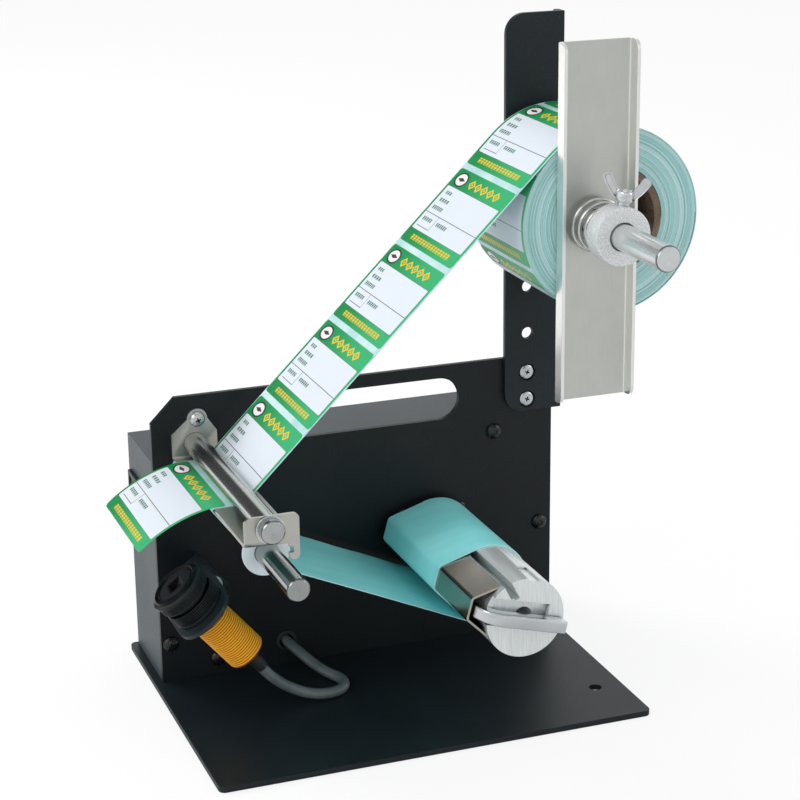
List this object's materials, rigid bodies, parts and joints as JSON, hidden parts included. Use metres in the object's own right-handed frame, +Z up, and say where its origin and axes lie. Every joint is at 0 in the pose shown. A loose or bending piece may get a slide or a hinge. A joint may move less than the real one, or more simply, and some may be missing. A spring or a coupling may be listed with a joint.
{
  "type": "label dispenser",
  "caption": "Bench-top label dispenser: an upright plate on a base carries a label roll, a peel edge, an optical label sensor and a motor-driven take-up reel for the liner.",
  "frame": {"origin": "on the base plate's underside, midway between its sides and 80 mm behind its front edge", "axes": "+X to the right, +Y away from the user, +Z up; the roll shaft, rods and reel point along -Y, towards the user"},
  "size_m": [0.2495, 0.1877, 0.2925],
  "materials": {
    "black_paint": "satin fine texture",
    "bracket_paint": "satin",
    "stainless": "brushed",
    "zinc": "zinc plated",
    "black_screws": "black oxide",
    "polished": "polished",
    "aluminium": "turned",
    "collar_aluminium": "blasted",
    "motor_can": "satin",
    "gear_case": "cast",
    "bronze": "sintered",
    "board": "lacquered",
    "component": "moulded",
    "black_plastic": "moulded",
    "rocker_plastic": "glossy with a red mark",
    "lens": "dark clear",
    "orange_barrel": "satin",
    "cardboard": "fibrous",
    "wound_labels": "layered",
    "labels": null,
    "liner": "glazed",
    "disc_plastic": "natural",
    "rubber": "soft",
    "cable_jacket": "soft"
  },
  "bodies": {
    "frame": {"base_plate": "black_paint", "corner_brackets": "zinc", "base_screws": "zinc", "front_plate": "black_paint", "rear_housing": "black_paint", "plate_screws": "black_screws", "plate_nuts": "zinc", "gearbox": "gear_case", "motor": "motor_can", "motor_screws": "black_screws", "drive_bush": "bronze", "control_board": "board", "board_parts": "component", "board_spacers": "bronze", "board_screws": "zinc", "power_inlet": "black_plastic", "switch_body": "black_plastic", "roll_arm": "black_paint", "arm_screws": "polished", "arm_nuts": "zinc", "roll_shaft": "polished", "shaft_nut": "zinc", "inner_flange": "bracket_paint", "label_web": "labels", "presented_label": "labels", "liner_return": "liner", "liner_run": "liner", "peel_bracket": "stainless", "peel_screw": "polished", "liner_rod": "polished", "liner_rod_nut": "zinc", "sensor_bracket": "bracket_paint", "bracket_screws": "zinc", "sensor_nuts": "black_plastic", "sensor_barrel": "orange_barrel", "sensor_head": "black_plastic", "sensor_lens": "lens", "strain_relief": "rubber", "sensor_cable": "cable_jacket", "cable_grommet": "rubber"},
    "takeup": {"drive_shaft": "polished", "takeup_drum": "aluminium", "drum_set_screw": "black_screws", "wound_liner": "liner"},
    "clip": {"clip_sheet": "stainless", "clip_bar": "polished"},
    "roll": {"roll_core": "cardboard", "label_roll": "wound_labels"},
    "stop": {"stop_collar": "collar_aluminium", "stop_spring": "polished"},
    "holder": {"retaining_plate": "stainless"},
    "wing": {"wing_screw": "polished"},
    "press": {"press_rod": "polished", "rod_rings": "zinc"},
    "disc": {"guide_disc": "disc_plastic"},
    "rocker": {"switch_rocker": "rocker_plastic"}
  },
  "joints": [
    {"name": "takeup_spin", "type": "hinge", "parent": "frame", "child": "takeup", "pos_m": [0.0364, 0, 0.0568], "axis": [0, -1, 0], "continuous": true, "deforming": ["liner_run"]},
    {"name": "clip_pull", "type": "slide", "parent": "takeup", "child": "clip", "axis": [0, -1, 0], "range_m": [0, 0.106]},
    {"name": "roll_spin", "type": "hinge", "parent": "frame", "child": "roll", "pos_m": [0.0919, -0.0117, 0.213], "axis": [0, -1, 0], "continuous": true},
    {"name": "stop_slide", "type": "slide", "parent": "frame", "child": "stop", "axis": [0, -1, 0], "range_m": [0, 0.034]},
    {"name": "holder_swivel", "type": "hinge", "parent": "stop", "child": "holder", "pos_m": [0.0829, -0.0443, 0.2134], "axis": [0, -1, 0], "continuous": true},
    {"name": "wing_turn", "type": "hinge", "parent": "stop", "child": "wing", "pos_m": [0.0829, -0.0676, 0.2134], "axis": [0.1616, 0, 0.9869], "range_deg": [0, 360]},
    {"name": "press_rod_spin", "type": "hinge", "parent": "frame", "child": "press", "pos_m": [-0.0748, 0, 0.1144], "axis": [0, -1, 0], "continuous": true},
    {"name": "disc_slide", "type": "slide", "parent": "frame", "child": "disc", "axis": [0, -1, 0], "range_m": [0, 0.042]},
    {"name": "switch_rock", "type": "hinge", "parent": "frame", "child": "rocker", "pos_m": [-0.0903, 0.062, 0.08], "axis": [0, -1, 0], "range_deg": [0, 16]}
  ],
  "couplings": [
    {"joint": "roll_spin", "follows": "takeup_spin", "ratio": 0.458},
    {"joint": "press_rod_spin", "follows": "takeup_spin", "ratio": -3.6}
  ]
}
